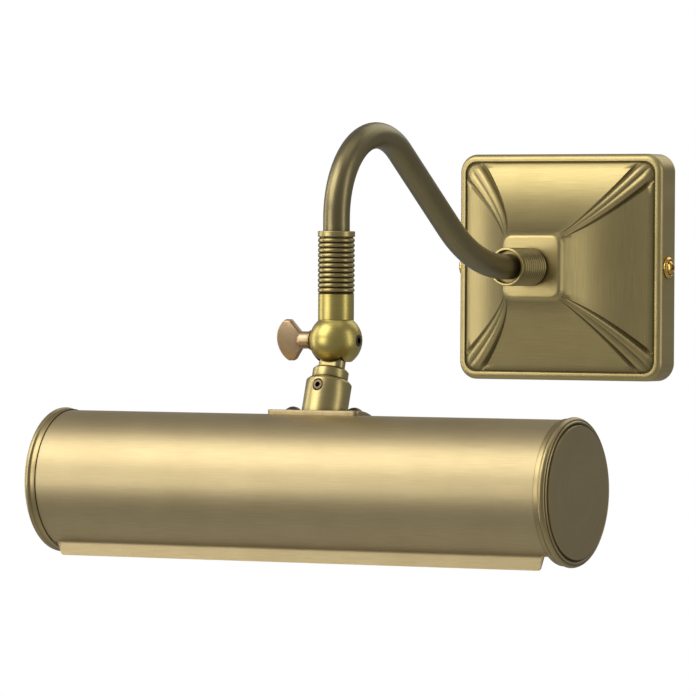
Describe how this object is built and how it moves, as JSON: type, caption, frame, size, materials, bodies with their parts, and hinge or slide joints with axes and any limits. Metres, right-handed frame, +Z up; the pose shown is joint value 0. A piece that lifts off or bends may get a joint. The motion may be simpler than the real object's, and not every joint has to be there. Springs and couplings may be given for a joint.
{
  "type": "picture light",
  "caption": "Wall-mounted picture light with a square relief plate, swan-neck arm, clamped ball knuckle and slotted tubular brass shade.",
  "frame": {"origin": "middle of the two wall slots, in the wall plane behind the square back plate", "axes": "+Z up, +Y into the wall, -Y out of the wall towards the viewer, +X to the right along the shade"},
  "size_m": [0.255, 0.2808, 0.1897],
  "materials": {
    "antique_brass": "brushed antique, lacquered",
    "bright_brass": "polished",
    "rose_brass": "satin",
    "black_steel": "dark bronze, semi-gloss",
    "zinc_steel": "zinc plated",
    "earth_green": "green passivated",
    "black_rubber": "matt",
    "cable_sheath": "smooth sheath",
    "wire_sleeve": "heat-proof sleeving",
    "white_plastic": "matt heat-proof plastic",
    "lamp_metal": "bright",
    "lamp_glass": "clear"
  },
  "bodies": {
    "fixed_arm": {"wall_bracket": "zinc_steel", "cable_grommet": "black_rubber", "terminal_block": "white_plastic", "terminal_screws": "zinc_steel", "earth_screw": "earth_green", "back_plate": "antique_brass", "plate_screws": "bright_brass", "plate_screw_cups": "bright_brass", "collar_nipple": "zinc_steel", "collar_nut": "zinc_steel", "collar_washer": "zinc_steel", "wall_collar": "antique_brass", "arm_tube": "antique_brass", "arm_cable": "cable_sheath", "arm_end_sleeve": "antique_brass", "knuckle_housing": "antique_brass", "knuckle_lock_screw": "black_steel"},
    "clamp_washer": {"clamp_washer": "rose_brass"},
    "wing_screw": {"wing_screw": "rose_brass"},
    "tilt_stem": {"tilt_tongue": "antique_brass", "stem_wires": "wire_sleeve"},
    "shade": {"stem_socket": "antique_brass", "socket_grub_screw": "black_steel", "saddle_plate": "antique_brass", "saddle_screws": "black_steel", "saddle_nuts": "zinc_steel", "shade_nipple": "zinc_steel", "shade_nipple_nut": "zinc_steel", "shade_shell": "antique_brass", "end_cap_left": "antique_brass", "end_cap_right": "antique_brass", "lamp_carrier": "zinc_steel", "lampholder_left": "white_plastic", "lampholder_right": "white_plastic", "holder_nuts": "zinc_steel", "lamp_cap_left": "lamp_metal", "lamp_cap_right": "lamp_metal", "lamp_glass_left": "lamp_glass", "lamp_glass_right": "lamp_glass", "lamp_wires": "wire_sleeve"}
  },
  "joints": [
    {"name": "shade_tilt", "type": "hinge", "parent": "fixed_arm", "child": "tilt_stem", "pos_m": [0, -0.2294, -0.0322], "axis": [1, 0, 0], "range_deg": [-4, 62]},
    {"name": "shade_swivel", "type": "hinge", "parent": "tilt_stem", "child": "shade", "pos_m": [0, -0.2294, -0.0322], "axis": [0, 0.3024, 0.9532], "range_deg": [-25, 25]},
    {"name": "clamp_travel", "type": "slide", "parent": "fixed_arm", "child": "clamp_washer", "axis": [-1, 0, 0], "range_m": [0, 0.0014]},
    {"name": "wing_turn", "type": "hinge", "parent": "clamp_washer", "child": "wing_screw", "pos_m": [0, -0.2294, -0.0322], "axis": [-1, 0, 0], "range_deg": [0, 720]}
  ],
  "couplings": [
    {"joint": "wing_turn", "follows": "clamp_travel", "rad_per_m": 8975.9}
  ]
}
